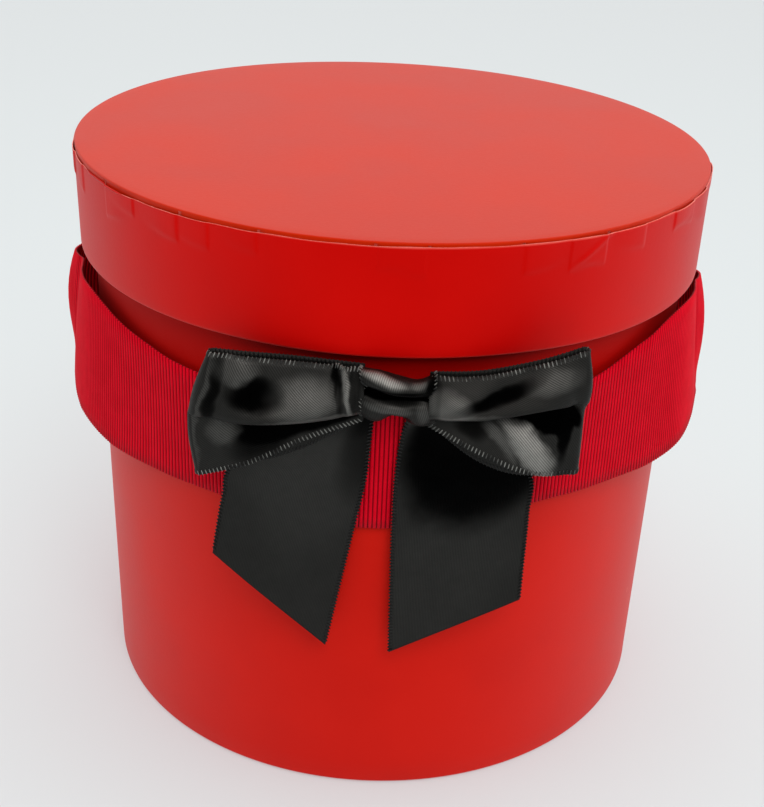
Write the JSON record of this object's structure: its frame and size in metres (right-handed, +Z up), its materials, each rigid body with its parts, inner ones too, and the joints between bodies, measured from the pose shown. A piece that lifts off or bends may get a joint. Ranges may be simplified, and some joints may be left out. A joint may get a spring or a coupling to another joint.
{
  "type": "flower box",
  "caption": "Round straight-sided card box with a deep lift-off lid, a ribbed ribbon handle slung round the front and a satin bow with two slant-cut tails.",
  "frame": {"origin": "centre of the flat underside, on the surface that the box stands on", "axes": "+Z up along the box's axis, -Y towards the front with the bow, +X to the viewer's right"},
  "size_m": [0.2102, 0.2082, 0.1845],
  "materials": {
    "red_paper": "smooth semi-matt coated paper",
    "lining_paper": "plain uncoated white lining paper",
    "grey_board": "unbleached grey board",
    "grosgrain": "crimson ribbed grosgrain ribbon",
    "satin": "black satin ribbon with overlocked edges",
    "clear_glue": "dried hot-melt glue"
  },
  "bodies": {
    "box": {"body_wall_board": "grey_board", "body_wrap_paper": "red_paper", "body_lining_paper": "lining_paper", "base_board": "grey_board", "base_paper": "red_paper", "base_lining_paper": "lining_paper", "handle_side_left": "grosgrain", "handle_side_right": "grosgrain", "handle_glue_left": "clear_glue", "handle_glue_right": "clear_glue"},
    "lid": {"lid_top_board": "grey_board", "lid_ring_board": "grey_board", "lid_top_paper": "red_paper", "lid_skirt_paper": "red_paper", "lid_ring_lining": "lining_paper", "lid_top_lining": "lining_paper"},
    "handle": {"handle_band": "grosgrain", "bow_glue": "clear_glue", "bow_knot": "satin", "bow_loop_left": "satin", "bow_loop_right": "satin", "bow_tail_root_left": "satin", "bow_tail_root_right": "satin"},
    "tail_left": {"bow_tail_left": "satin"},
    "tail_right": {"bow_tail_right": "satin"}
  },
  "joints": [
    {"name": "lid_lift", "type": "slide", "parent": "box", "child": "lid", "axis": [0, 0, 1], "range_m": [0, 0.08]},
    {"name": "handle_pull", "type": "slide", "parent": "box", "child": "handle", "axis": [0, -0.7071, 0.7071], "range_m": [0, 0.03]},
    {"name": "tail_left_swing", "type": "hinge", "parent": "handle", "child": "tail_left", "pos_m": [-0.0236, -0.0982, 0.114], "axis": [-1, 0, 0], "range_deg": [0, 50]},
    {"name": "tail_right_swing", "type": "hinge", "parent": "handle", "child": "tail_right", "pos_m": [0.023, -0.0982, 0.114], "axis": [-1, 0, 0], "range_deg": [0, 50]}
  ]
}
